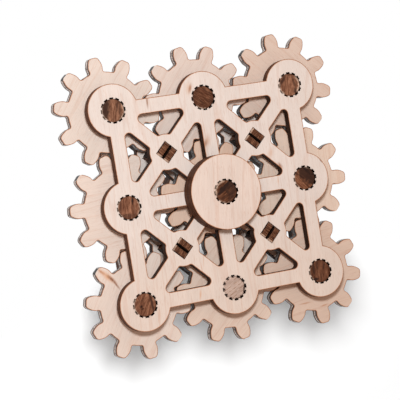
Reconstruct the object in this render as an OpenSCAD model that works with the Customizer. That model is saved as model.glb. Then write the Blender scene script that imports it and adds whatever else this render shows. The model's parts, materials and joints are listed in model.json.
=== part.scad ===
// Wooden gear puzzle: nine meshing gears between two lattice plates, turned by a knob in the middle.
// Millimetres. The puzzle lies on its rear knob, with +Z towards its front face.
// The origin is the centre of the rear knob's outer face.

/* [Sheet] */
// Thickness of the plywood sheet that the flat pieces are cut from
sheet_t = 4; // [3:0.5:6]

/* [Layout] */
// Distance between the centres of neighbouring axles
hub_pitch = 42; // [40:0.5:48]
// Gap between each face of a turning gear and the washer beside it
gear_play = 0.15; // [0.1:0.05:0.3]
// Gap between a knob and the plate beside it
knob_play = 0.3; // [0.2:0.1:0.6]

/* [Plates] */
// Radius of the round hubs of a plate
hub_r = 11.5; // [10.5:0.1:12]
// Width of the bars and diagonal braces of a plate
bar_w = 6.5; // [5:0.1:7]
// Radius of the round pads where the braces cross
pad_r = 7.9; // [7:0.1:8.5]
// Radius in the window corners beside a pad
pad_corner_r = 1; // [0.5:0.1:2]

/* [Knobs] */
// Radius of both knobs
knob_r = 16.4; // [14:0.1:18]

/* [Gears] */
// Number of teeth, which has to be even for the square layout to mesh
teeth = 10; // [8:2:12]
// Height of a tooth outside the pitch circle
tooth_tip_h = 3; // [2.5:0.1:3.2]
// Depth of a tooth space inside the pitch circle
tooth_root_h = 3.4; // [3.3:0.1:4]
// Pressure angle of the involute flanks, in degrees
pressure_angle = 20; // [18:1:25]
// Thickness taken off each tooth so that the gears run freely
backlash = 0.22; // [0.1:0.02:0.5]
// Rounding of the corners at a tooth's tip
tip_round = 0.9; // [0.4:0.1:1.2]
// Rounding of the corners at a tooth's root
root_round = 1; // [0.4:0.1:1.4]
// Angle of the first tooth of the corner and centre gears, in degrees from +X
gear_turn = 23.8; // [0:0.1:36]

/* [Axles] */
// Radius of the round axles
axle_r = 5; // [4:0.1:5.4]
// Bevel round the ends of the axles
axle_bevel = 0.5; // [0.2:0.1:0.8]
// How far an axle's end lies below the face around it
axle_inset = 0.2; // [0:0.1:0.5]
// Radial clearance of an axle in a hole that turns on it
run_gap = 0.08; // [0.02:0.01:0.1]
// Radial clearance of an axle in a toothed hole that grips it
grip_gap = 0.02; // [0.01:0.01:0.05]
// Number of notches round a toothed hole
notches = 12; // [8:1:14]
// Width of a notch
notch_w = 1.75; // [1:0.05:1.9]
// Depth of a notch beyond the axle
notch_depth = 0.6; // [0.4:0.1:0.9]

/* [Washers] */
// Outer radius of the spacer washers
washer_r = 9; // [7:0.1:10]

/* [Pegs] */
// Side of the square hole for a split peg
peg_hole_w = 7; // [6:0.1:7.4]
// Gap between the two leaves of a peg
peg_slot_w = 0.95; // [0.6:0.05:1.2]
// Clearance of a peg on each side of its hole
peg_gap = 0.1; // [0.05:0.05:0.2]
// Width of a peg leaf's shoulder on each side, which keeps the plates apart
peg_shoulder = 1.1; // [0.6:0.1:1.5]
// How far a peg stands out of its plate
peg_proud = 0.3; // [0:0.1:0.8]
// Bevel at the ends of the peg leaves
peg_bevel = 0.5; // [0.2:0.1:1]

/* [Hidden] */

// Places of the outer axles: name, column and row in steps of the pitch
PLACES = [
    ["top_left", -1, 1], ["top", 0, 1], ["top_right", 1, 1],
    ["left", -1, 0], ["right", 1, 0],
    ["bottom_left", -1, -1], ["bottom", 0, -1], ["bottom_right", 1, -1]
];
// Places of the pegs: name and the signs of the quadrant
QUADRANTS = [["top_left", -1, 1], ["top_right", 1, 1], ["bottom_left", -1, -1], ["bottom_right", 1, -1]];

// Heights of the layers, from the rear knob up
rear_knob_inner_z = sheet_t;
back_plate_z = rear_knob_inner_z + sheet_t + knob_play;
back_washer_z = back_plate_z + sheet_t;
gear_z = back_washer_z + sheet_t + gear_play;
front_washer_z = gear_z + sheet_t + gear_play;
front_plate_z = front_washer_z + sheet_t;
front_knob_inner_z = front_plate_z + sheet_t + knob_play;
front_knob_outer_z = front_knob_inner_z + sheet_t;
front_knob_face_z = front_knob_outer_z + sheet_t;

// Circles are fine enough to be true curves
$fn = 96;
arc_steps = 6;

PLY = [0.92, 0.83, 0.74];
GEAR_PLY = [0.88, 0.77, 0.67];
WASHER_PLY = [0.85, 0.74, 0.62];
AXLE_WOOD = [0.42, 0.26, 0.18];
PALE_AXLE_WOOD = [0.80, 0.69, 0.60];

// Plate lattice, seen in one quadrant with its origin at the quadrant's centre and the window below it.
// The braces run at 45 degrees, so each window is a triangle cut by the pad's circle.
window_base_y = -(hub_pitch - bar_w) / 2;
brace_drop = bar_w / sqrt(2);
window_base_x = -window_base_y - brace_drop;
// The corner beside a hub is one arc that touches the bar, the brace and the hub's circle
half_corner = 22.5;
corner_from_hub = bar_w / 2 / sin(half_corner);
corner_r = (hub_r - corner_from_hub) / (1 / sin(half_corner) - 1);
corner_run = corner_r / tan(half_corner);
// The corner beside the pad is an arc that touches the brace and the pad's circle
pad_arc_across = bar_w / 2 + pad_corner_r;
pad_arc_along = sqrt(pow(pad_r + pad_corner_r, 2) - pow(pad_arc_across, 2));
pad_arc_centre = [
    (pad_arc_across - pad_arc_along) / sqrt(2),
    -(pad_arc_across + pad_arc_along) / sqrt(2)
];
pad_touch_angle = atan2(pad_arc_centre[1], pad_arc_centre[0]);

// Gear teeth
pitch_r = hub_pitch / 2;
tip_r = pitch_r + tooth_tip_h;
root_r = pitch_r - tooth_root_h;
base_r = pitch_r * cos(pressure_angle);
tooth_half = 90 / teeth - backlash / 2 / pitch_r * 180 / PI;
edge_turn = 180 / teeth - gear_turn;

// Peg leaves
peg_w = peg_hole_w - 2 * peg_gap;
leaf_t = (peg_w - peg_slot_w) / 2;
leaf_bottom_z = back_plate_z - peg_proud;
leaf_top_z = front_plate_z + sheet_t + peg_proud;

function polar(r, a) = [r * cos(a), r * sin(a)];
function mirrored(points) = [for (i = [len(points) - 1:-1:0]) [-points[i][0], points[i][1]]];
function arc(centre, r, from, to) =
    [for (i = [0:arc_steps]) centre + polar(r, from + (to - from) * i / arc_steps)];

// Point at a share t of the way along a curve that leaves p0 towards p1 and arrives at p2
function bend(p0, p1, p2, t) = p0 * pow(1 - t, 2) + p1 * 2 * t * (1 - t) + p2 * t * t;

// Angle, in degrees, that an involute has unwound at radius r
function involute_angle(r) = r <= base_r ? 0 : sqrt(pow(r / base_r, 2) - 1) * 180 / PI - acos(base_r / r);

// Half the angle that a tooth takes up at radius r
function half_angle(r) = tooth_half + involute_angle(pitch_r) - involute_angle(r);

// Half a tooth about the +Y axis, from the middle of the space beside it up to its tip
flank_steps = 4;
bend_steps = 3;
flank_low_r = root_r + root_round;
flank_high_r = tip_r - tip_round;
root_corner = half_angle(root_r);
tip_corner = half_angle(tip_r);
root_bend_end = root_corner + root_round / root_r * 180 / PI;
tip_bend_end = max(0, tip_corner - tip_round / tip_r * 180 / PI);
half_tooth = concat(
    [polar(root_r, 90 + 180 / teeth)],
    [for (i = [0:bend_steps]) bend(
        polar(root_r, 90 + root_bend_end),
        polar(root_r, 90 + root_corner),
        polar(flank_low_r, 90 + half_angle(flank_low_r)),
        i / bend_steps
    )],
    [for (i = [1:flank_steps]) let (r = flank_low_r + (flank_high_r - flank_low_r) * i / flank_steps)
        polar(r, 90 + half_angle(r))],
    [for (i = [1:bend_steps]) bend(
        polar(flank_high_r, 90 + half_angle(flank_high_r)),
        polar(tip_r, 90 + tip_corner),
        polar(tip_r, 90 + tip_bend_end),
        i / bend_steps
    )]
);

module gear_outline(turn) {
    other_half = mirrored(half_tooth);
    last = len(other_half) - 2;
    tooth = concat(half_tooth, [for (i = [0:last]) other_half[i]]);
    polygon([
        for (k = [0:teeth - 1], p = tooth)
            let (a = turn - 90 - 360 * k / teeth)
            [p[0] * cos(a) - p[1] * sin(a), p[0] * sin(a) + p[1] * cos(a)]
    ]);
}

module run_hole() {
    circle(r = axle_r + run_gap);
}

// Hole that grips an axle between small teeth
module toothed_hole() {
    circle(r = axle_r + grip_gap);
    for (k = [0:notches - 1])
        rotate(360 * k / notches)
            translate([0, -notch_w / 2])
                square([axle_r + notch_depth, notch_w]);
}

// One window, below the centre of its quadrant. Its top is the lower edge of the round pad.
module window() {
    left_half = concat(
        arc([corner_run - window_base_x, window_base_y + corner_r], corner_r, 270, 135),
        arc(pad_arc_centre, pad_corner_r, 135, pad_touch_angle + 180)
    );
    pad_edge = arc([0, 0], pad_r, pad_touch_angle, -180 - pad_touch_angle);
    pad_edge_inside = [for (i = [1:arc_steps - 1]) pad_edge[i]];
    polygon(concat(left_half, pad_edge_inside, mirrored(left_half)));
}

module quadrant_holes() {
    for (k = [0:3])
        rotate(90 * k) window();
    rotate(45) square(peg_hole_w, center = true);
}

module plate(z) {
    color(PLY)
    translate([0, 0, z])
    linear_extrude(sheet_t)
    difference() {
        union() {
            square(2 * hub_pitch + bar_w, center = true);
            for (p = PLACES)
                translate([p[1], p[2]] * hub_pitch) circle(r = hub_r);
        }
        for (p = PLACES)
            translate([p[1], p[2]] * hub_pitch) toothed_hole();
        for (q = QUADRANTS)
            translate([q[1], q[2]] * hub_pitch / 2) quadrant_holes();
        run_hole();
    }
}

module knob_disc(z) {
    color(PLY)
    translate([0, 0, z])
    linear_extrude(sheet_t)
    difference() {
        circle(r = knob_r);
        toothed_hole();
    }
}

module washer(place, z) {
    color(WASHER_PLY)
    translate([place[0] * hub_pitch, place[1] * hub_pitch, z])
    linear_extrude(sheet_t)
    difference() {
        circle(r = washer_r);
        run_hole();
    }
}

module axle(place, bottom_z, top_z, wood) {
    low = bottom_z + axle_inset;
    high = top_z - axle_inset;
    color(wood)
    translate([place[0] * hub_pitch, place[1] * hub_pitch, 0])
    rotate_extrude()
    polygon([
        [0, low],
        [axle_r - axle_bevel, low],
        [axle_r, low + axle_bevel],
        [axle_r, high - axle_bevel],
        [axle_r - axle_bevel, high],
        [0, high]
    ]);
}

// The centre gear grips its axle, so that the knob drives it
module centre_gear() {
    color(GEAR_PLY)
    translate([0, 0, gear_z])
    linear_extrude(sheet_t)
    difference() {
        gear_outline(gear_turn);
        toothed_hole();
    }
}

// Neighbouring gears turn opposite ways, so those in the middle of an edge have their own angle
module outer_gear(column, row) {
    color(GEAR_PLY)
    translate([column * hub_pitch, row * hub_pitch, gear_z])
    linear_extrude(sheet_t)
    difference() {
        gear_outline(column * row == 0 ? edge_turn : gear_turn);
        run_hole();
    }
}

// One flat leaf of a split peg, with shoulders between the plates.
// side is 1 for the leaf away from the puzzle's centre and -1 for the one towards it.
module peg_leaf(quadrant, side) {
    narrow = peg_w / 2;
    wide = narrow + peg_shoulder;
    right_edge = [
        [narrow - peg_bevel, leaf_bottom_z],
        [narrow, leaf_bottom_z + peg_bevel],
        [narrow, back_washer_z],
        [wide, back_washer_z],
        [wide, front_plate_z],
        [narrow, front_plate_z],
        [narrow, leaf_top_z - peg_bevel],
        [narrow - peg_bevel, leaf_top_z]
    ];
    outward = atan2(quadrant[1], quadrant[0]);
    color(AXLE_WOOD)
    translate([quadrant[0], quadrant[1], 0] * hub_pitch / 2)
    rotate(outward)
    translate([side * (peg_slot_w + leaf_t) / 2, 0, 0])
    rotate([90, 0, 90])
    translate([0, 0, -leaf_t / 2])
    linear_extrude(leaf_t)
    polygon(concat(right_edge, mirrored(right_edge)));
}

plate(front_plate_z);  // front_plate
plate(back_plate_z);  // back_plate
knob_disc(front_knob_outer_z);  // front_knob_outer
knob_disc(front_knob_inner_z);  // front_knob_inner
knob_disc(rear_knob_inner_z);  // rear_knob_inner
knob_disc(0);  // rear_knob_outer
axle([0, 0], 0, front_knob_face_z, AXLE_WOOD);  // centre_axle
centre_gear();
washer([0, 0], front_washer_z);  // centre_front_washer
washer([0, 0], back_washer_z);  // centre_back_washer

for (p = PLACES) {
    place = [p[1], p[2]];
    wood = p[0] == "bottom" ? PALE_AXLE_WOOD : AXLE_WOOD;
    outer_gear(p[1], p[2]);
    axle(place, back_plate_z, front_plate_z + sheet_t, wood);
    washer(place, front_washer_z);
    washer(place, back_washer_z);
}

for (q = QUADRANTS) {
    peg_leaf([q[1], q[2]], -1);
    peg_leaf([q[1], q[2]], 1);
}
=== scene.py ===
import json
from math import atan2, copysign, cos, degrees, pi, radians, sin

import bmesh
import bpy
from mathutils import Matrix, Vector, noise


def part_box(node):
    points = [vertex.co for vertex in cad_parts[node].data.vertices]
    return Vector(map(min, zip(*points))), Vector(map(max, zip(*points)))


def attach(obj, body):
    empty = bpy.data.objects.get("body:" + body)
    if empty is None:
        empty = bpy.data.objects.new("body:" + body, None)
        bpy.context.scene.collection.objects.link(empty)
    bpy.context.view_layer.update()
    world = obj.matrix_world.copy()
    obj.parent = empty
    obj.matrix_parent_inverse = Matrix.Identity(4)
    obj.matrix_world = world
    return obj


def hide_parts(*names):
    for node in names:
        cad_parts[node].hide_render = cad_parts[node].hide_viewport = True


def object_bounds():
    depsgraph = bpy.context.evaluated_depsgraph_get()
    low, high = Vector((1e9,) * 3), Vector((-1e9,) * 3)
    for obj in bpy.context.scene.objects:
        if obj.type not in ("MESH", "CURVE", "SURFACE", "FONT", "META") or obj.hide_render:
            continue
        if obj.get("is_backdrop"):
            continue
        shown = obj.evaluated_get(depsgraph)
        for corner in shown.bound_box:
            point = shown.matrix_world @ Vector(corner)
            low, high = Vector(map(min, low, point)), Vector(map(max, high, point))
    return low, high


# Looks of the wooden gear puzzle: burnt sheets, turned axles and worn pegs, in veneer, char and rod wood
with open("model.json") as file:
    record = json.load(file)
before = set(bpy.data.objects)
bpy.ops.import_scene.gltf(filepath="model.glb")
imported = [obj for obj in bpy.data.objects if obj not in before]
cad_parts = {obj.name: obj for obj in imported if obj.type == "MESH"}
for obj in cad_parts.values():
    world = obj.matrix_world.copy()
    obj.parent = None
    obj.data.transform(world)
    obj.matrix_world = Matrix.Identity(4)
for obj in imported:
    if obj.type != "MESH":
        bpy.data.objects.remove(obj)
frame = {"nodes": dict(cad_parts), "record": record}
CAD_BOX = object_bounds()
MM = 0.001
WHITE = (1, 1, 1, 1)

# What the frame gives: bodies, material slots, the sheet's thickness, heights of faces and the hubs' pitch
BODIES = frame["record"]["behaviour"]["bodies"]
BODY_OF = {node: body for body, nodes in BODIES.items() for node in nodes}
SLOT_OF = {row["node"]: row["material_slot"] for row in frame["record"]["subparts"]}
NODES = sorted(frame["nodes"])
front_low, front_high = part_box("front_plate")
SHEET_T = front_high.z - front_low.z
FRONT_Z = front_high.z
GEAR_FACE_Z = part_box("centre_gear")[1].z
axle_low, axle_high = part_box("axle_right")
HUB_PITCH = (axle_low.x + axle_high.x) / 2

# Camera, where the photograph was taken from, with its lens and sensor in mm. The puzzle's rows rise to
# the right in the picture.
CAMERA_PLACE = Vector((-285.68, 8.63, 714.20)) * MM
CAMERA_TARGET = Vector((-9.39, -1.79, 28.60)) * MM
CAMERA_TURN = radians(10.1)
CAMERA_LENS = 153.53
CAMERA_SENSOR = 36
PICTURE_UP = Vector((sin(CAMERA_TURN), cos(CAMERA_TURN), 0))
PICTURE_LEFT = Vector((-cos(CAMERA_TURN), sin(CAMERA_TURN), 0))

# Key lamp, which lights all but the floor
KEY_PLACE = Vector((-182, 108, 526)) * MM
KEY_AIM = Vector((-30, 230, 28)) * MM
KEY_SIZE = 80 * MM
KEY_POWER = 2.66
KEY_TINT = (0.796, 0.898, 0.958)

# Light from all round. It grows between two heights, from 0 at the horizon to 1 straight above.
LOW_FILL_LEVEL = (0.16, 0.123, 0.102, 1)
FILL_LEVEL = (0.50, 0.385, 0.32, 1)
FILL_GROWS_FROM = 0.1
FILL_GROWS_TO = 0.8

# Floor and the lamp that lights it alone
FLOOR_LAMP_PLACE = Vector((-86, 100, 300)) * MM
FLOOR_LAMP_SIZE = 300 * MM
FLOOR_LAMP_POWER = 2.26
FLOOR_LAMP_TINT = (1.0, 0.82, 0.70)
FLOOR_SPAN = 6.0
FLOOR_COLOUR = (0.57, 0.705, 0.83, 1)
FLOOR_GLOSS = 0.1
FLOOR_ROUGHNESS = 0.9
FLOOR_GLOW = 0.21

# Where the floor's shadow shows. It starts at two lines, one straight across the picture and one slanting,
# and shows in full further down, and far from the puzzle it fades. Distances are from the puzzle's middle.
SHADE_STARTS = -17 * MM
SHADE_FULL = -29 * MM
SHADE_SLANT = 0.6
SLANT_STARTS = -9 * MM
SLANT_FULL = -22 * MM
PLAIN_STARTS = 100 * MM
PLAIN_FULL = 150 * MM

# Burnt edge of a cut piece: a tiny bevel, then a brown border on the face. The burn is 1 at an outline,
# times BEVEL_SCORCH inside its bevel, and HOLE_SCORCH round a hole for an axle or a peg.
EDGE_BEVEL = 0.06 * MM
PLATE_BORDER = 0.41 * MM
GEAR_BORDER = 0.38 * MM
BEVEL_SCORCH = 0.85
HOLE_SCORCH = 0.15

# Soot and painted shade on cut edges. In the holes for axles and pegs, soot and the painted shade of their
# narrow gaps; painted shade on the walls of windows, and where the gears mesh inside the puzzle
HOLE_REACH = 6.3 * MM
HOLE_SOOT_AND_SHADE = 1.0
WINDOW_SHADE = 0.62
MESH_SHADE_REACH = 46 * MM
MESH_SHADE = 0.6

# Meshes: a flat face's normal is more upright than FLAT, corners nearer than WELD are one, and edges
# sharper than SMOOTH_ANGLE stay sharp. MITRE_LIMIT keeps a border's corners short.
FLAT = 0.9
WELD = 0.001 * MM
MITRE_LIMIT = 0.3
SMOOTH_ANGLE = radians(35)


def paint(red, green, blue):
    """Colour as a picture shows it, from 0 to 255, in the renderer's linear values."""
    def linear(value):
        share = value / 255
        return share / 12.92 if share <= 0.04045 else ((share + 0.055) / 1.055) ** 2.4
    return (linear(red), linear(green), linear(blue), 1.0)


def backdrop_rays(nodes, links):
    """1 for a ray that shows the background, straight or through a mirror or glass, and 0 for light."""
    path = nodes.new("ShaderNodeLightPath")
    seen = path.outputs["Is Camera Ray"]
    for other in ("Is Glossy Ray", "Is Transmission Ray"):
        either = nodes.new("ShaderNodeMath")
        either.operation = "MAXIMUM"
        links.new(seen, either.inputs[0])
        links.new(path.outputs[other], either.inputs[1])
        seen = either.outputs[0]
    return seen


class NodeWriter:
    """Writes a tree's nodes. A value given to a call is a number, a colour or another node's output."""

    def __init__(self, tree):
        self.nodes = tree.nodes
        self.links = tree.links

    def feed(self, socket, value):
        if isinstance(value, bpy.types.NodeSocket):
            self.links.new(value, socket)
        else:
            socket.default_value = value

    def add(self, kind, inputs, **settings):
        node = self.nodes.new(kind)
        for name, value in settings.items():
            setattr(node, name, value)
        for socket, value in inputs.items():
            self.feed(node.inputs[socket], value)
        return node

    def attribute(self, name, output="Fac"):
        return self.add("ShaderNodeAttribute", {}, attribute_name=name).outputs[output]

    def place(self, output="Object"):
        """Where a point of the piece is at rest. In a world, Generated is the direction looked in."""
        return self.add("ShaderNodeTexCoord", {}).outputs[output]

    def part(self, vector, axis):
        return self.add("ShaderNodeSeparateXYZ", {0: vector}).outputs[axis]

    def math(self, operation, first, second=0.0):
        return self.add("ShaderNodeMath", {0: first, 1: second}, operation=operation).outputs[0]

    def vector_math(self, operation, inputs, output="Value"):
        return self.add("ShaderNodeVectorMath", inputs, operation=operation).outputs[output]

    def mix(self, share, first, second, how="MIX"):
        inputs = {0: share, 6: first, 7: second}
        return self.add("ShaderNodeMix", inputs, data_type="RGBA", blend_type=how).outputs[2]

    def blend(self, share, first, second):
        """The number first where share is 0, and second where it is 1."""
        kept = self.math("MULTIPLY", first, self.math("SUBTRACT", 1.0, share))
        return self.math("ADD", kept, self.math("MULTIPLY", second, share))

    def between(self, value, low, high, start=0.0, end=1.0):
        """start below low, end above high, and a smooth step from one to the other."""
        inputs = {"Value": value, "From Min": low, "From Max": high, "To Min": start, "To Max": end}
        return self.add("ShaderNodeMapRange", inputs, interpolation_type="SMOOTHSTEP").outputs["Result"]

    def overlay(self, colour, tint, value, low, high, most=1.0, how="MIX"):
        """colour with tint over it: none where value is below low, and the share most above high."""
        return self.mix(self.between(value, low, high, 0.0, most), colour, tint, how)

    def noise(self, vector, size_mm, detail=2.0, roughness=0.5, distortion=0.0):
        """Soft spots of the given sizes in mm, mostly from 0.3 to 0.7. On a grain vector the sizes are
        across the grain, along it and through the sheet."""
        scale = [1 / (size * MM) for size in size_mm]
        inputs = {
            "Vector": self.vector_math("MULTIPLY", {0: vector, 1: scale}, "Vector"), "Scale": 1.0,
            "Detail": detail, "Roughness": roughness, "Distortion": distortion,
        }
        return self.add("ShaderNodeTexNoise", inputs).outputs[0]

    def spot(self, centre, angle, size_mm):
        """1 in the middle of a soft oval spot on the piece at rest, and 0 outside it. size_mm has half of
        its length, width and height."""
        inputs = {
            "Vector": self.place(), "Location": centre, "Rotation": (0, 0, radians(angle)),
            "Scale": [size * MM for size in size_mm],
        }
        inside = self.add("ShaderNodeMapping", inputs, vector_type="TEXTURE").outputs[0]
        return self.between(self.vector_math("LENGTH", {0: inside}), 0.0, 1.0, 1.0, 0.0)


class Shader(NodeWriter):
    """The nodes of one material, round a surface whose plain constants are given by name."""

    def __init__(self, name, constants):
        self.material = bpy.data.materials.new(name)
        self.material.use_nodes = True
        super().__init__(self.material.node_tree)
        self.surface = self.nodes["Principled BSDF"]
        for socket, value in constants.items():
            self.set(socket, value)

    def set(self, socket, value):
        self.feed(self.surface.inputs[socket], value)

    def bump(self, height, depth_mm, strength):
        inputs = {"Height": height, "Distance": depth_mm * MM, "Strength": strength}
        self.set("Normal", self.add("ShaderNodeBump", inputs).outputs[0])


# Plywood: colours of the bare faces, the tint of the plate's bottom row, colours of the char, the black of
# soot and painted shade on walls, and specular levels. The plates' walls are seen at a grazing angle, where
# all but a dull one would make the char too light. FACE_RELIEF is the fibres' share of the bump, and
# RING_WAVES how often the growth lines repeat. The burnt border is ragged and not quite opaque.
PLATE_FACE = paint(232, 214, 203)
KNOB_FACE = paint(230, 207, 193)
WASHER_FACE = paint(222, 200, 184)
PLATE_DRIFT = (1.0, 0.96, 0.92, 1.0)
BORDER_BROWN = paint(206, 142, 102)
BORDER_CHAR = paint(112, 66, 43)
BORDER_RAGGED = 0.5
BORDER_STRENGTH = 0.9
SOOT_AND_SHADE_BLACK = paint(24, 16, 13)
DULL_GLOSS = 0.04
GEAR_GLOSS = 0.1
FACE_RELIEF = 0.35
RING_WAVES = 30

# Marks in the veneer: place on the face (mm), angle, half length and half width (mm), colour and strength
PLATE_MARKS = [
    (-2.4, 22.2, 62, 2.6, 1.4, paint(140, 90, 64), 0.95),
    (-1.5, 23.0, 70, 4.6, 2.4, paint(205, 162, 136), 0.7),
    (-2.0, 29.5, 92, 8.5, 0.35, paint(205, 160, 135), 0.55),
    (-6.1, 46.9, 75, 4.6, 2.2, paint(220, 176, 146), 0.6),
    (-5.5, 46.7, 70, 3.2, 1.1, paint(170, 112, 78), 0.95),
    (-26.1, 43.8, 86, 4.6, 0.75, paint(156, 104, 74), 1.0),
    (27.3, 13.3, 70, 4.0, 2.0, paint(214, 165, 135), 0.6),
    (30.9, 7.3, -55, 2.6, 1.4, paint(162, 110, 82), 0.95),
    (28.9, 1.0, 82, 3.8, 0.45, paint(220, 170, 136), 0.7),
    (51.1, 6.3, 125, 1.8, 0.4, paint(108, 62, 40), 1.0),
    (40.2, 36.7, 90, 5.0, 0.3, paint(205, 163, 138), 0.5),
    (-33.6, -7.5, 96, 6.0, 0.4, paint(212, 172, 148), 0.5),
    (-13.8, -30.8, 92, 4.0, 0.5, paint(214, 160, 130), 0.6),
    (-12.3, -27.5, 80, 5.5, 0.4, paint(218, 172, 142), 0.55),
    (-16.3, -42.1, 78, 3.6, 0.7, paint(220, 166, 130), 0.8),
    (-36.5, -47.4, 83, 6.0, 0.9, paint(214, 162, 128), 0.6),
    (-35.4, -34.8, 84, 5.0, 0.4, paint(208, 165, 140), 0.45),
]
GEAR_MARKS = [
    (-54.0, -27.6, -47, 6.5, 2.0, paint(224, 164, 122), 0.9),
    (-56.4, -25.2, -44, 3.0, 0.9, paint(196, 134, 96), 0.9),
    (-52.3, -29.1, -50, 4.0, 1.1, paint(138, 82, 52), 1.0),
    (-50.6, -31.8, -60, 4.0, 0.7, paint(150, 94, 62), 0.9),
    (35.9, -55.5, 1, 4.6, 0.5, paint(196, 134, 98), 0.85),
    (45.1, -58.0, 9, 3.2, 0.5, paint(196, 134, 98), 0.85),
]
MARK_DEPTH_MM = 1.5


def veneer_figure(s, colour, grain, fibres, figure):
    """colour with the veneer's growth lines, flecks and hairs, and its lighter and darker streaks."""
    rings = s.noise(grain, (9, 190, 9), detail=1, distortion=0.12)
    ring_wave = s.math("SINE", s.math("MULTIPLY", rings, RING_WAVES))
    flecks = s.noise(grain, (0.25, 2.4, 1.2), detail=1)
    hairs = s.noise(grain, (0.16, 9, 2), detail=1)
    ring_tint, fleck_tint, hair_tint = paint(226, 184, 158), paint(226, 184, 156), paint(214, 172, 148)
    colour = s.overlay(colour, ring_tint, ring_wave, 0.8, 1.0, 0.16 * figure, "MULTIPLY")
    colour = s.overlay(colour, fleck_tint, flecks, 0.62, 0.76, 0.30 * figure, "MULTIPLY")
    colour = s.overlay(colour, hair_tint, hairs, 0.60, 0.70, 0.30 * figure, "MULTIPLY")
    bands = s.noise(grain, (3.5, 110, 5), detail=2)
    clouds = s.noise(grain, (11, 20, 9), detail=2)
    shade = s.between(fibres, 0.3, 0.7, 1 - 0.035 * figure, 1 + 0.02 * figure)
    shade = s.math("ADD", shade, s.between(bands, 0.3, 0.7, -0.018 * figure, 0.014 * figure))
    shade = s.math("ADD", shade, s.between(clouds, 0.3, 0.7, -0.025, 0.02))
    shade_colour = s.add("ShaderNodeCombineColor", {0: shade, 1: shade, 2: shade}).outputs[0]
    return s.mix(1.0, colour, shade_colour, "MULTIPLY")


def burnt_border(s, colour, grain):
    """colour, browned near the outline and charred at it, with a ragged edge."""
    burn = s.attribute("burn")
    ragged = s.noise(grain, (0.7, 0.7, 0.7), detail=2)
    scorch = s.math("ADD", burn, s.math("MULTIPLY", s.math("SUBTRACT", ragged, 0.5), BORDER_RAGGED))
    scorch = s.math("MULTIPLY", scorch, s.between(burn, 0.0, 0.25))
    colour = s.overlay(colour, BORDER_BROWN, scorch, 0.0, 0.50, BORDER_STRENGTH)
    return s.overlay(colour, BORDER_CHAR, scorch, 0.50, 0.85, BORDER_STRENGTH)


def brown_walls(s, grain):
    """Evenly charred plies, with fine lines along the sheet, and beam marks across it whose lighter colour
    is a painted glint. Gives their colour, roughness and relief.
    """
    layer = s.math("DIVIDE", s.part(grain, "Z"), SHEET_T)
    from_middle = s.math("ABSOLUTE", s.math("SUBTRACT", layer, 0.5))
    streaks = s.noise(grain, (7, 7, 0.22), detail=3, roughness=0.6)
    beam_marks = s.noise(grain, (0.2, 0.2, 6), detail=2)
    soot = s.noise(grain, (2.6, 2.6, 1.5), detail=3)
    core_ply, outer_ply, edge = paint(100, 61, 42), paint(83, 49, 33), paint(50, 28, 19)
    dark_streak, beam_mark, soot_spot = paint(74, 44, 31), paint(138, 92, 68), paint(44, 26, 19)
    colour = s.overlay(core_ply, outer_ply, from_middle, 0.14, 0.22)
    colour = s.overlay(colour, edge, from_middle, 0.34, 0.48, 0.8)
    colour = s.overlay(colour, dark_streak, streaks, 0.35, 0.7, 0.45)
    # The beam marks' relief is real; their lighter colour is a painted glint
    colour = s.overlay(colour, beam_mark, beam_marks, 0.5, 0.8, 0.3)
    colour = s.overlay(colour, soot_spot, soot, 0.48, 0.78, 0.5)
    return colour, s.between(streaks, 0.3, 0.7, 0.4, 0.6), beam_marks


def grey_walls(s, grain):
    """Thick char under the face, then a core ply, then a grey ply, each with paler spots, painted
    glints that are brightest on the core ply. Gives their colour, roughness and relief."""
    layer = s.math("DIVIDE", s.part(grain, "Z"), SHEET_T)
    wander = s.noise(grain, (1.6, 1.6, 1.6), detail=3, roughness=0.6)
    height = s.math("ADD", layer, s.math("MULTIPLY", s.math("SUBTRACT", wander, 0.5), 0.26))
    painted_glint_patches = s.noise(grain, (0.8, 0.8, 1.1), detail=3, roughness=0.65)
    beam_marks = s.noise(grain, (0.25, 0.25, 5), detail=2)
    # Paler spots on each ply are painted glints of reflected light
    grey_ply = s.overlay(paint(92, 73, 64), paint(158, 137, 125), painted_glint_patches, 0.36, 0.62)
    core_ply = s.overlay(paint(104, 84, 74), paint(230, 211, 201), painted_glint_patches, 0.36, 0.54)
    char = s.overlay(paint(56, 38, 31), paint(138, 112, 98), painted_glint_patches, 0.50, 0.70)
    veneer_edge, lower_edge, beam_mark = paint(120, 78, 57), paint(52, 38, 32), paint(50, 38, 34)
    in_core = s.math("MULTIPLY", s.between(height, 0.30, 0.36), s.between(height, 0.60, 0.68, 1.0, 0.0))
    colour = s.mix(in_core, grey_ply, core_ply)
    colour = s.overlay(colour, char, height, 0.60, 0.70)
    colour = s.overlay(colour, veneer_edge, layer, 0.90, 0.95)
    colour = s.mix(s.between(layer, 0.08, 0.20, 1.0, 0.0), colour, lower_edge)
    colour = s.overlay(colour, beam_mark, beam_marks, 0.5, 0.75, 0.5)
    return colour, s.between(painted_glint_patches, 0.3, 0.7, 0.45, 0.25), s.math("MULTIPLY", painted_glint_patches, 2.0)


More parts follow.
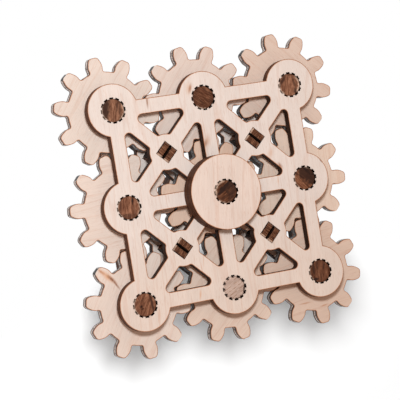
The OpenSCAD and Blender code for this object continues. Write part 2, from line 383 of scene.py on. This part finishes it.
def plywood(name, face, walls, figure, gloss=DULL_GLOSS, marks=(), mark_z=0.0, drift=None):
    """Bare veneer on the faces, char on the cut edges and a brown border between them. walls gives the cut
    edges their look, figure is the strength of the veneer's lines, and gloss its specular level. The marks
    lie at the height mark_z, and drift is a tint that the face takes on towards the bottom row."""
    s = Shader(name, {"Specular IOR Level": gloss})
    grain = s.attribute("grain", "Vector")
    cut = s.attribute("cut")
    fibres = s.noise(grain, (0.3, 7, 3), detail=3, roughness=0.6)

    colour = s.mix(1.0, face, s.attribute("tone", "Color"), "MULTIPLY")
    if drift:
        low_row = s.between(s.part(s.place(), "Y"), -HUB_PITCH, 0, 1.0, 0.0)
        colour = s.mix(low_row, colour, drift, "MULTIPLY")
    colour = veneer_figure(s, colour, grain, fibres, figure)
    broken = s.between(fibres, 0.3, 0.6, 0.6, 1.0)
    for x, y, angle, length, width, tint, strength in marks:
        spot = s.spot((x * MM, y * MM, mark_z), angle, (length, width, MARK_DEPTH_MM))
        share = s.math("MULTIPLY", s.math("MULTIPLY", spot, broken), strength)
        colour = s.mix(share, colour, tint)
    colour = burnt_border(s, colour, grain)

    wall_colour, wall_roughness, wall_relief = walls(s, grain)
    # Soot, and painted shade in the holes' gaps, the windows and between the gears, blacken the walls
    wall_colour = s.mix(s.attribute("soot"), wall_colour, SOOT_AND_SHADE_BLACK)
    s.set("Base Color", s.mix(cut, colour, wall_colour))
    s.set("Roughness", s.blend(cut, s.between(fibres, 0.3, 0.7, 0.58, 0.70), wall_roughness))
    relief = s.math("ADD", s.math("MULTIPLY", fibres, FACE_RELIEF), s.math("MULTIPLY", wall_relief, cut))
    s.bump(relief, depth_mm=0.12, strength=0.5)
    return s.material


# Rods: their specular level, dark stains (on an axle also the painted shade beside its notches), bare wood
# (on a peg also a painted highlight), the black of the painted shade on a peg's long sides, and the pale
# rod's brown lines. The colour of the wood itself comes with each mesh.
ROD_GLOSS = 0.06
ROD_STAIN_AND_SHADE = paint(44, 28, 23)
ROD_BARE = paint(242, 206, 180)
ROD_PAINTED_SHADE = paint(18, 11, 9)
LINE_BROWN = paint(150, 106, 82)
LINE_WOBBLE = 2.4
LINE_STRENGTH = 0.7


def brown_lines(s, colour, grain, gap_mm):
    """colour with wavering, broken brown lines along the grain, gap_mm apart."""
    wobble = s.math("MULTIPLY", s.noise(grain, (3, 4, 3)), LINE_WOBBLE)
    turns = s.math("MULTIPLY", s.part(grain, "X"), 2 * pi / (gap_mm * MM))
    wave = s.math("SINE", s.math("ADD", turns, wobble))
    broken = s.between(s.noise(grain, (0.9, 2.0, 2)), 0.42, 0.58)
    lines = s.math("MULTIPLY", s.between(wave, 0.55, 0.95), broken)
    return s.mix(s.math("MULTIPLY", lines, LINE_STRENGTH), colour, LINE_BROWN)


def rod_wood(name, swirl, depth, line_gap_mm=None):
    """End of a round or flat rod. Its colour, stains and worn places come with the mesh, and so do the
    painted shade at an axle's notches and on a peg's long sides and a peg's painted highlight. swirl bends
    its streaks, depth is their strength, and line_gap_mm is the distance between brown lines, if it has
    any."""
    s = Shader(name, {"Specular IOR Level": ROD_GLOSS})
    grain = s.attribute("grain", "Vector")
    bands = s.noise(grain, (1.3, 9, 6), detail=2, distortion=swirl)
    streaks = s.noise(grain, (0.3, 3.2, 3), detail=4, roughness=0.65, distortion=swirl * 0.5)
    pores = s.noise(grain, (0.3, 0.7, 1), detail=2)
    band_tint, streak_tint = paint(150, 128, 116), paint(150, 124, 110)
    pale_streak, pore = paint(220, 158, 118), paint(52, 32, 25)
    dark_bands = s.between(bands, 0.38, 0.60, 0.5 * depth, 0.0)
    dark_streaks = s.between(streaks, 0.38, 0.62, 0.75 * depth, 0.0)
    colour = s.mix(dark_bands, s.attribute("tone", "Color"), band_tint, "MULTIPLY")
    colour = s.mix(dark_streaks, colour, streak_tint, "MULTIPLY")
    colour = s.overlay(colour, pale_streak, streaks, 0.54, 0.72, 0.28 * depth)
    colour = s.overlay(colour, pore, pores, 0.60, 0.72, 0.6 * depth)
    if line_gap_mm:
        colour = brown_lines(s, colour, grain, line_gap_mm)
    # On an axle the stain also carries the painted shade beside its notches
    stain = s.math("MULTIPLY", s.attribute("stain"), s.between(streaks, 0.25, 0.6, 0.8, 1.0))
    colour = s.mix(stain, colour, ROD_STAIN_AND_SHADE)
    worn = s.math("MULTIPLY", s.attribute("bare"), s.between(pores, 0.40, 0.56, 1.0, 0.45))
    colour = s.mix(worn, colour, ROD_BARE)
    # Painted shade: black on a peg's long sides, which face its slot and its hole
    s.set("Base Color", s.mix(s.attribute("soot"), colour, ROD_PAINTED_SHADE))
    s.set("Roughness", s.between(streaks, 0.3, 0.7, 0.45, 0.62))
    s.bump(s.math("ADD", streaks, bands), depth_mm=0.08, strength=0.5)
    return s.material


MATERIALS = {
    "plate_ply": plywood("plate_ply", PLATE_FACE, brown_walls, figure=1.1,
                         marks=PLATE_MARKS, mark_z=FRONT_Z, drift=PLATE_DRIFT),
    "knob_ply": plywood("knob_ply", KNOB_FACE, brown_walls, figure=1.15),
    "gear_ply": plywood("gear_ply", PLATE_FACE, grey_walls, figure=0.95, gloss=GEAR_GLOSS,
                        marks=GEAR_MARKS, mark_z=GEAR_FACE_Z),
    "washer_ply": plywood("washer_ply", WASHER_FACE, brown_walls, figure=1.0),
    "axle_wood": rod_wood("axle_wood", swirl=0.5, depth=1.0),
    "pale_axle_wood": rod_wood("pale_axle_wood", swirl=0.1, depth=0.4, line_gap_mm=1.5),
    "peg_wood": rod_wood("peg_wood", swirl=0.8, depth=1.3),
}

# Direction of the veneer's grain, in degrees from the rows, and its tone against the plates. On the gears
# the tone is partly the veneer's own and partly painted shade, which makes the right-hand gears, and the
# bottom one, darker and warmer.
PLATE_GRAIN = (88, (1, 1, 1))
KNOB_GRAIN = (82, (1, 1, 1))
WASHER_GRAIN = (20, (1, 1, 1))
# The centre gear's warm tone is painted light, the warm light bounced between the wooden parts
CENTRE_GEAR_GRAIN_AND_WARM_LIGHT = (70, (1.01, 0.84, 0.72))
GEAR_GRAIN = {
    "top_left": (52, (0.985, 0.955, 0.92)),
    "top": (48, (0.965, 0.92, 0.89)),
    "top_right": (-48, (0.93, 0.83, 0.76)),
    "left": (3, (1.02, 0.975, 0.935)),
    "right": (86, (1.015, 0.92, 0.83)),
    "bottom_left": (58, (1.03, 0.99, 0.95)),
    "bottom": (40, (0.99, 0.905, 0.83)),
    "bottom_right": (8, (0.935, 0.815, 0.725)),
}

# Every piece has its own stretch of veneer, this far (m) from the next one's across and along the grain
NEXT_ACROSS = 0.37
NEXT_ALONG = 0.53

# Ends of the axles as the picture shows them. "grain" is the direction of the streaks. Each stain is a soft
# stroke: place on the end (right, up, with the rim at 1), direction, half length, half width, strength.
# Each worn patch of the rim is: direction, half spread, inner edge, strength. Directions are in degrees.
# Beside the notches of its hole the rim is painted black, painted shade of the gap there, outwards from the
# given share of the radius.
RODS = {
    "top_left": {
        "wood": (170, 121, 94), "grain": 92, "notch_shade_from": 0.95,
        "stains": [(-0.72, 0.0, 88, 1.5, 0.36, 0.88), (-0.44, -0.1, 84, 0.7, 0.05, 0.6),
                   (0.36, 0.45, 86, 0.5, 0.09, 0.6), (0.64, 0.0, 94, 0.9, 0.13, 0.55)],
        "worn": [(-5, 52, 0.90, 0.75), (205, 50, 0.95, 0.7)],
    },
    "top": {
        "wood": (122, 78, 56), "grain": 150, "notch_shade_from": 0.93,
        "stains": [(0.35, 0.55, 150, 0.45, 0.10, 0.35), (-0.2, -0.35, 130, 0.35, 0.08, 0.35),
                   (0.7, -0.1, 95, 0.6, 0.18, 0.3), (-0.75, 0.2, 70, 0.5, 0.15, 0.3)],
        "worn": [(260, 30, 0.92, 0.5)],
    },
    "top_right": {
        "wood": (169, 118, 91), "grain": 90, "notch_shade_from": 0.95,
        "stains": [(-0.70, 0.35, 62, 0.7, 0.15, 0.75), (0.46, 0.15, 108, 0.85, 0.09, 0.6),
                   (0.58, -0.55, 110, 0.3, 0.13, 0.85), (0.0, 0.95, 0, 0.7, 0.12, 0.5)],
        "worn": [(8, 52, 0.83, 0.85), (205, 40, 0.92, 0.6)],
    },
    "left": {
        "wood": (160, 109, 83), "grain": 90, "notch_shade_from": 0.95,
        "stains": [(0.28, 0.62, 90, 0.30, 0.08, 1.0), (-0.3, -0.75, 10, 0.8, 0.22, 0.5),
                   (0.5, -0.1, 96, 0.8, 0.06, 0.4), (-0.8, 0.0, 90, 0.7, 0.14, 0.4),
                   (0.2, -0.8, 0, 0.5, 0.15, 0.4)],
        "worn": [(5, 46, 0.89, 0.65), (190, 50, 0.96, 0.5)],
    },
    "centre": {
        "wood": (119, 75, 52), "grain": 42, "notch_shade_from": 0.95,
        "stains": [(-0.05, 0.50, 42, 0.95, 0.17, 1.0), (-0.38, 0.02, 42, 0.6, 0.11, 1.0),
                   (0.40, 0.55, 30, 0.7, 0.24, 0.8), (0.10, 0.0, 140, 0.7, 0.12, 0.7),
                   (0.60, -0.05, 70, 0.8, 0.30, 0.65), (0.0, -0.40, 42, 0.6, 0.10, 0.5)],
        "worn": [(150, 58, 0.86, 0.6), (265, 40, 0.92, 0.35)],
    },
    "right": {
        "wood": (150, 99, 72), "grain": 140, "notch_shade_from": 0.95,
        "stains": [(0.36, 0.34, 143, 1.45, 0.74, 0.9), (0.25, 0.62, 143, 0.9, 0.25, 1.0)],
        "worn": [(200, 45, 0.94, 0.3), (80, 16, 0.93, 0.4)],
    },
    "bottom_left": {
        "wood": (157, 106, 80), "grain": 70, "notch_shade_from": 0.95,
        "stains": [(-0.36, -0.16, 60, 0.13, 0.10, 1.0), (-0.22, -0.34, 20, 0.12, 0.05, 0.9),
                   (0.60, 0.15, 104, 0.85, 0.10, 0.8), (-0.1, 0.5, 30, 0.5, 0.06, 0.3)],
        "worn": [(190, 48, 0.93, 0.55), (40, 22, 0.93, 0.5)],
    },
    "bottom": {
        "wood": (211, 183, 167), "grain": 36, "notch_shade_from": 0.88,
        "stains": [(0.93, 0.18, 78, 0.6, 0.05, 1.0), (0.62, 0.74, 135, 0.35, 0.05, 1.0),
                   (0.3, -0.94, 15, 0.4, 0.04, 0.9)],
        "worn": [],
    },
    "bottom_right": {
        "wood": (127, 82, 60), "grain": 90, "notch_shade_from": 0.95,
        "stains": [(-0.66, 0.25, 100, 0.6, 0.14, 0.6), (-0.3, 0.5, 95, 0.35, 0.07, 0.6),
                   (0.36, 0.55, 88, 0.28, 0.06, 0.95), (-0.42, -0.74, 20, 0.28, 0.12, 0.95),
                   (0.1, -0.45, 88, 0.5, 0.08, 0.4)],
        "worn": [(195, 40, 0.94, 0.35)],
    },
}

# Edges of the stains, as shares of the stroke: where they fade, how ragged they are and how finely. Each
# stain's raggedness comes from its own place in the noise.
STAIN_EDGE = (0.6, 1.4)
STAIN_RAGGED = 0.5
STAIN_FINE = 4
NEXT_STAIN = 9

# The same for the worn places and the painted shade beside the notches, as shares of the axle's radius. A
# patch fades at its ends.
WORN_SOFT = 0.04
WORN_RAGGED = 0.06
WORN_FINE = 5
WORN_LAYER = 3
WORN_FADES_FROM = 0.7
NOTCH_SHADE_SOFT = 0.02

# An axle: sides round it, notches of its hole and how softly the painted shade beside them starts, rings
# across its end, and its bevel as a share of its radius. The rim is rounded in steps, each a share of the
# radius and a share of the bevel's height.
ROD_SIDES = 96
NOTCHES = 12
NOTCH_EDGE = (0.1, 0.6)
ROD_RINGS = 20
ROD_BEVEL = 0.1
ROD_RIM = [(1.0, 0.0), (0.985, 0.55), (0.94, 0.9), (0.90, 1.0)]

# A peg leaf: how far its ends draw in, its softened corners, how bare its slopes are, with a painted
# highlight on those that face left in the picture, and the painted shade on its sides. A slope's normal has
# more than SLOPE_LEAN both upright and along the leaf, and a side's has more than SIDE_TURN across it.
LEAF_WOOD = (134, 90, 66)
LEAF_WEAR = 0.12 * MM
LEAF_BEVEL = 0.1 * MM
SLOPE_LEAN = 0.25
LEFT_SLOPE_BARE_AND_HIGHLIT = 0.6
RIGHT_SLOPE_BARE = 0.12
SIDE_TURN = 0.35
SIDE_SHADE = 0.9


def centre_of(node):
    low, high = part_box(node)
    return (low + high) / 2


def in_picture(x, y):
    """A step along the rows and columns, as steps right and up in the picture."""
    turn = CAMERA_TURN
    return x * cos(turn) - y * sin(turn), x * sin(turn) + y * cos(turn)


def smooth(value, low, high):
    """0 below low, 1 above high, and a smooth step between them."""
    share = min(1.0, max(0.0, (value - low) / (high - low)))
    return share * share * (3 - 2 * share)


def stain_share(right, up, stain):
    """How much of a stain a place on an axle's end has."""
    x, y, angle, length, width, strength = stain
    turn = radians(angle)
    along = (right - x) * cos(turn) + (up - y) * sin(turn)
    across = (up - y) * cos(turn) - (right - x) * sin(turn)
    reach = ((along / length) ** 2 + (across / width) ** 2) ** 0.5
    spot = Vector((right * STAIN_FINE + x * NEXT_STAIN, up * STAIN_FINE + y * NEXT_STAIN, 0))
    ragged = noise.noise(spot) * STAIN_RAGGED
    return strength * (1 - smooth(reach + ragged, *STAIN_EDGE))


def worn_share(right, up, patch):
    """How worn a place on an axle's end or rim is."""
    angle, spread, inner, strength = patch
    around = abs((degrees(atan2(up, right)) - angle + 180) % 360 - 180)
    ragged = noise.noise(Vector((right * WORN_FINE, up * WORN_FINE, WORN_LAYER))) * WORN_RAGGED
    reach = (right * right + up * up) ** 0.5 + ragged
    from_inside = smooth(reach, inner - WORN_SOFT, inner + WORN_SOFT)
    return strength * from_inside * (1 - smooth(around, spread * WORN_FADES_FROM, spread))


def grain_frame(node, angle):
    """Turns a place on the piece into distances across and along its grain and through its thickness."""
    row = NODES.index(node)
    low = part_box(node)[0]
    centre = centre_of(node)
    turn = radians(90 - angle)
    shift = Vector((row * NEXT_ACROSS, row * NEXT_ALONG, 0))

    def place(co):
        x, y = co.x - centre.x, co.y - centre.y
        across = x * cos(turn) - y * sin(turn)
        along = x * sin(turn) + y * cos(turn)
        return Vector((across, along, co.z - low.z)) + shift
    return place


def finish_piece(bm, node, grain_angle, tone):
    """Makes the mesh a piece that stands for its CAD node, rides on its body and knows its grain."""
    place = grain_frame(node, grain_angle)
    grain = bm.verts.layers.float_vector.new("grain")
    tones = bm.verts.layers.float_vector.new("tone")
    for v in bm.verts:
        v[grain] = place(v.co)
        v[tones] = Vector(tone)
    for f in bm.faces:
        f.smooth = True
    mesh = bpy.data.meshes.new(node + "_wood")
    bm.to_mesh(mesh)
    bm.free()
    mesh.set_sharp_from_angle(angle=SMOOTH_ANGLE)
    mesh.materials.append(MATERIALS[SLOT_OF[node]])
    piece = bpy.data.objects.new(node + "_wood", mesh)
    bpy.context.scene.collection.objects.link(piece)
    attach(piece, BODY_OF[node])
    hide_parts(node)


def welded(node):
    """A CAD node's mesh with one corner at each point."""
    source = frame["nodes"][node].data
    bm = bmesh.new()
    corners = [bm.verts.new(v.co) for v in source.vertices]
    for polygon in source.polygons:
        bm.faces.new([corners[i] for i in polygon.vertices])
    bmesh.ops.remove_doubles(bm, verts=bm.verts, dist=WELD)
    bmesh.ops.dissolve_degenerate(bm, edges=bm.edges, dist=WELD)
    bm.normal_update()
    return bm


def outline_loops(cap):
    """The outlines of a flat cap, each a list of corners with the cap on the left of the way round."""
    inside = set(cap)
    following = {}
    for face in cap:
        for loop in face.loops:
            if any(other not in inside for other in loop.edge.link_faces):
                following[loop.vert] = loop.link_loop_next.vert
    loops = []
    while following:
        corner, way_on = following.popitem()
        loop = [corner]
        while way_on != corner:
            loop.append(way_on)
            way_on = following.pop(way_on)
        loops.append(loop)
    return loops


def inner_ring(bm, loop, side, distance):
    """A copy of an outline, moved into the cap by the same distance all round and joined to it by faces."""
    count = len(loop)
    inward = []
    for k in range(count):
        run = (loop[(k + 1) % count].co - loop[k].co).normalized()
        inward.append(Vector((-run.y, run.x, 0)) * side)
    ring = []
    for k in range(count):
        before, after = inward[k - 1], inward[k]
        mitre = (before + after) / max(MITRE_LIMIT, 1 + before.dot(after))
        ring.append(bm.verts.new(loop[k].co + mitre * distance))
    for k in range(count):
        n = (k + 1) % count
        bm.faces.new((loop[k], loop[n], ring[n], ring[k]))
    return ring


def in_a_hole(place):
    """Whether a cut edge belongs to a hole for an axle or a peg. These stand on every other crossing of
    lines half a pitch apart."""
    half = HUB_PITCH / 2
    column, row = round(place.x / half), round(place.y / half)
    off_centre = Vector((place.x - column * half, place.y - row * half))
    return (column + row) % 2 == 0 and off_centre.length < HOLE_REACH


def soften_cap(bm, side, border):
    """Gives a sheet's front (side 1) or back (side -1) a bevel and a border round each outline, and paints
    shade on the walls of its windows."""
    burn = bm.verts.layers.float["burn"]
    cut = bm.faces.layers.float["cut"]
    soot = bm.faces.layers.float["soot"]
    cap = [f for f in bm.faces if f.normal.z * side > FLAT]
    outlines = outline_loops(cap)
    # Painted shade on the walls of the windows, which lie in the shade of the bars round them
    # The outer outline has the most corners
    for window in sorted(outlines, key=len)[:-1]:
        for wall in {f for v in window for f in v.link_faces if f[cut] and not f[soot]}:
            wall[soot] = WINDOW_SHADE
    bmesh.ops.delete(bm, geom=cap, context="FACES_KEEP_BOUNDARY")
    inner_edges = []
    for outline in outlines:
        edge = inner_ring(bm, outline, side, EDGE_BEVEL)
        for v in outline:
            v.co.z -= side * EDGE_BEVEL
        for v, outer in zip(edge, outline):
            v[burn] = BEVEL_SCORCH * outer[burn]
        ring = inner_ring(bm, edge, side, border)
        inner_edges += [bm.edges.get((v, n)) for v, n in zip(ring, ring[1:] + ring[:1])]
    filled = bmesh.ops.triangle_fill(bm, edges=inner_edges, use_beauty=False, normal=(0, 0, side))
    for f in filled["geom"]:
        if isinstance(f, bmesh.types.BMFace):
            f.normal_update()
            if f.normal.z * side < 0:
                f.normal_flip()


def burnt_sheet(node, grain_angle, tone, border=PLATE_BORDER):
    """A flat cut piece, with char on its cut edges, soot and painted shade in its holes, painted shade on
    its window walls and, on a gear, on walls inside the puzzle, and softened front and back.
    """
    bm = welded(node)
    burn = bm.verts.layers.float.new("burn")
    cut = bm.faces.layers.float.new("cut")
    soot = bm.faces.layers.float.new("soot")
    for v in bm.verts:
        v[burn] = HOLE_SCORCH if in_a_hole(v.co) else 1.0
    for f in bm.faces:
        if abs(f.normal.z) > FLAT:
            continue
        f[cut] = 1.0
        middle = f.calc_center_median()
        # Soot and the painted shade of their narrow gaps in the holes for axles and pegs
        if in_a_hole(middle):
            f[soot] = HOLE_SOOT_AND_SHADE
        # Painted shade on the gears' walls inside the puzzle, where the plates and the meshing gears shade
        # them
        elif "gear" in node and max(abs(middle.x), abs(middle.y)) < MESH_SHADE_REACH:
            f[soot] = MESH_SHADE
    for side in (1, -1):
        soften_cap(bm, side, border)
    bm.normal_update()
    finish_piece(bm, node, grain_angle, tone)


def turned_rod(node, look):
    """A round axle with softened ends, stained and worn as its look says, and painted black beside its
    notches as painted shade of the gap.
    """
    low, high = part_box(node)
    centre = centre_of(node)
    radius = (high.x - low.x) / 2
    bevel = radius * ROD_BEVEL
    bm = bmesh.new()
    bare = bm.verts.layers.float.new("bare")
    stain = bm.verts.layers.float.new("stain")

    def vertex(x, y, z):
        v = bm.verts.new((centre.x + x * radius, centre.y + y * radius, z))
        right, up = in_picture(x, y)
        from_axis = (x * x + y * y) ** 0.5
        # Painted shade beside the notches, where the gap round the axle is in shade; it is kept with the
        # stains
        at_notch = smooth(cos(NOTCHES * atan2(y, x)), *NOTCH_EDGE)
        notch_shade = at_notch * smooth(from_axis, look["notch_shade_from"] - NOTCH_SHADE_SOFT, look["notch_shade_from"] + NOTCH_SHADE_SOFT)
        v[stain] = max([stain_share(right, up, mark) for mark in look["stains"]] + [notch_shade])
        v[bare] = max([worn_share(right, up, patch) for patch in look["worn"]], default=0.0)
        return v

    def ring(share, z):
        steps = [2 * pi * k / ROD_SIDES for k in range(ROD_SIDES)]
        return [vertex(cos(a) * share, sin(a) * share, z) for a in steps]

    def close(edge, z, flip):
        middle = vertex(0, 0, z)
        for k in range(ROD_SIDES):
            pair = [edge[k], edge[(k + 1) % ROD_SIDES]]
            bm.faces.new((pair[::-1] if flip else pair) + [middle])

    flat = [(ROD_RIM[-1][0] * (1 - k / ROD_RINGS), 1.0) for k in range(1, ROD_RINGS)]
    profile = ROD_RIM + flat
    levels = [ring(share, low.z + bevel * (1 - rise)) for share, rise in reversed(profile)]
    levels += [ring(share, high.z - bevel * (1 - rise)) for share, rise in profile]
    for below, above in zip(levels, levels[1:]):
        for k in range(ROD_SIDES):
            n = (k + 1) % ROD_SIDES
            bm.faces.new((below[k], below[n], above[n], above[k]))
    close(levels[0], low.z, True)
    close(levels[-1], high.z, False)
    bm.normal_update()
    finish_piece(bm, node, look["grain"] - degrees(CAMERA_TURN), paint(*look["wood"])[:3])


def worn_leaf(node):
    """One leaf of a split peg, with softened corners. The slopes at its ends are worn to bare wood, and
    those facing left in the picture are painted paler as a painted highlight. Its long sides are painted
    black, painted shade of its slot and its hole."""
    low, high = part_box(node)
    middle = centre_of(node)
    peg = Vector((copysign(HUB_PITCH / 2, middle.x), copysign(HUB_PITCH / 2, middle.y), 0))
    towards_slot = peg - middle
    angle = atan2(towards_slot.y, towards_slot.x)
    across = Vector((cos(angle), sin(angle), 0))
    along = Vector((-across.y, across.x, 0))

    bm = welded(node)
    bmesh.ops.dissolve_limit(bm, angle_limit=radians(1), verts=bm.verts, edges=bm.edges)
    for v in bm.verts:
        if min(abs(v.co.z - low.z), abs(v.co.z - high.z)) < WELD:
            out = v.co - middle
            v.co -= along * copysign(LEAF_WEAR, out.dot(along))
            v.co -= across * copysign(LEAF_WEAR, out.dot(across))
    bmesh.ops.bevel(bm, geom=list(bm.edges), offset=LEAF_BEVEL, segments=2, profile=0.5, affect="EDGES")
    bm.normal_update()

    bare = bm.faces.layers.float.new("bare")
    soot = bm.faces.layers.float.new("soot")
    for f in bm.faces:
        # Bare slopes; those facing left in the picture are painted paler still, a painted highlight where
        # light falls
        if abs(f.normal.dot(along)) > SLOPE_LEAN and abs(f.normal.z) > SLOPE_LEAN:
            faces_left = in_picture(f.normal.x, f.normal.y)[0] < 0
            f[bare] = LEFT_SLOPE_BARE_AND_HIGHLIT if faces_left else RIGHT_SLOPE_BARE
        # Painted shade on the long sides, which face the slot and the hole
        elif abs(f.normal.dot(across)) > SIDE_TURN:
            f[soot] = SIDE_SHADE
    finish_piece(bm, node, degrees(angle), paint(*LEAF_WOOD)[:3])


def dress(node):
    """Puts a detailed piece in the place of a CAD node."""
    if "plate" in node:
        burnt_sheet(node, *PLATE_GRAIN)
    elif "knob" in node:
        burnt_sheet(node, *KNOB_GRAIN)
    elif "washer" in node:
        burnt_sheet(node, *WASHER_GRAIN)
    elif node == "centre_gear":
        burnt_sheet(node, *CENTRE_GEAR_GRAIN_AND_WARM_LIGHT, GEAR_BORDER)
    elif node.startswith("gear_"):
        burnt_sheet(node, *GEAR_GRAIN[node.removeprefix("gear_")], GEAR_BORDER)
    elif "axle" in node:
        turned_rod(node, RODS[node.removeprefix("axle_").removesuffix("_axle")])
    else:
        worn_leaf(node)


def place_camera():
    camera = bpy.data.objects.new("camera", bpy.data.cameras.new("camera"))
    camera.data.lens = CAMERA_LENS
    camera.data.sensor_width = CAMERA_SENSOR
    back = (CAMERA_PLACE - CAMERA_TARGET).normalized()
    right = PICTURE_UP.cross(back).normalized()
    axes = Matrix((right, back.cross(right), back)).transposed().to_4x4()
    camera.matrix_world = Matrix.Translation(CAMERA_PLACE) @ axes
    bpy.context.scene.collection.objects.link(camera)
    bpy.context.scene.camera = camera


def light_world():
    """Soft warm light from all round, stronger from above. Camera, mirrors and glass see it plain white."""
    world = bpy.data.worlds.new("studio")
    bpy.context.scene.world = world
    world.use_nodes = True
    s = NodeWriter(world.node_tree)
    height = s.part(s.place("Generated"), "Z")
    fill = s.overlay(LOW_FILL_LEVEL, FILL_LEVEL, height, FILL_GROWS_FROM, FILL_GROWS_TO)
    level = s.mix(backdrop_rays(s.nodes, s.links), fill, WHITE)
    s.feed(s.nodes["Background"].inputs["Color"], level)


def floor_finish():
    """White floor. The soft shadow shows on it below the puzzle in the picture; further up and further out
    the camera sees it plain white."""
    s = Shader("floor", {
        "Base Color": FLOOR_COLOUR, "Roughness": FLOOR_ROUGHNESS, "Specular IOR Level": FLOOR_GLOSS,
        "Emission Color": WHITE,
    })
    seen = backdrop_rays(s.nodes, s.links)
    s.set("Emission Strength", s.math("MULTIPLY", seen, FLOOR_GLOW))
    place = s.place()
    upper_left = PICTURE_UP + PICTURE_LEFT * SHADE_SLANT
    rise = s.vector_math("DOT_PRODUCT", {0: place, 1: PICTURE_UP})
    slanting_rise = s.vector_math("DOT_PRODUCT", {0: place, 1: upper_left})
    reach = s.vector_math("LENGTH", {0: place})
    above = s.math("MAXIMUM", s.between(rise, SHADE_FULL, SHADE_STARTS),
                   s.between(slanting_rise, SLANT_FULL, SLANT_STARTS))
    plain = s.math("MAXIMUM", above, s.between(reach, PLAIN_STARTS, PLAIN_FULL))
    plain_to_camera = s.math("MULTIPLY", seen, plain)
    white = s.add("ShaderNodeEmission", {"Color": WHITE}).outputs[0]
    lit = s.surface.outputs[0]
    blend = s.add("ShaderNodeMixShader", {0: plain_to_camera, 1: lit, 2: white}).outputs[0]
    s.feed(s.nodes["Material Output"].inputs["Surface"], blend)
    return s.material


def lay_floor():
    half = FLOOR_SPAN / 2
    mesh = bpy.data.meshes.new("floor")
    corners = [(-half, -half, 0), (half, -half, 0), (half, half, 0), (-half, half, 0)]
    mesh.from_pydata(corners, [], [(0, 1, 2, 3)])
    mesh.materials.append(floor_finish())
    floor = bpy.data.objects.new("floor", mesh)
    bpy.context.scene.collection.objects.link(floor)
    floor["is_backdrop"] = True
    return floor


def place_lamp(name, place, aim, size, power, tint, floor, on_floor):
    """A round lamp, which lights the floor alone or everything but the floor."""
    lamp = bpy.data.lights.new(name, "AREA")
    lamp.shape = "DISK"
    lamp.size = size
    lamp.energy = power
    lamp.color = tint
    holder = bpy.data.objects.new(name, lamp)
    holder.location = place
    holder.rotation_euler = (place - aim).to_track_quat("Z", "Y").to_euler()
    bpy.context.scene.collection.objects.link(holder)
    lit = bpy.data.collections.new(name + "_lit")
    lit.objects.link(floor)
    lit.collection_objects[0].light_linking.link_state = "INCLUDE" if on_floor else "EXCLUDE"
    holder.light_linking.receiver_collection = lit


for node in NODES:
    dress(node)
place_camera()
light_world()
floor = lay_floor()
place_lamp("key", KEY_PLACE, KEY_AIM, KEY_SIZE, KEY_POWER, KEY_TINT, floor, on_floor=False)
place_lamp("floor_lamp", FLOOR_LAMP_PLACE, Vector(), FLOOR_LAMP_SIZE, FLOOR_LAMP_POWER, FLOOR_LAMP_TINT,
           floor, on_floor=True)
bpy.context.scene.view_settings.view_transform = "Standard"

boxes = {"cad": CAD_BOX, "visual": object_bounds()}
{name: [list(corner) for corner in box] for name, box in boxes.items()}
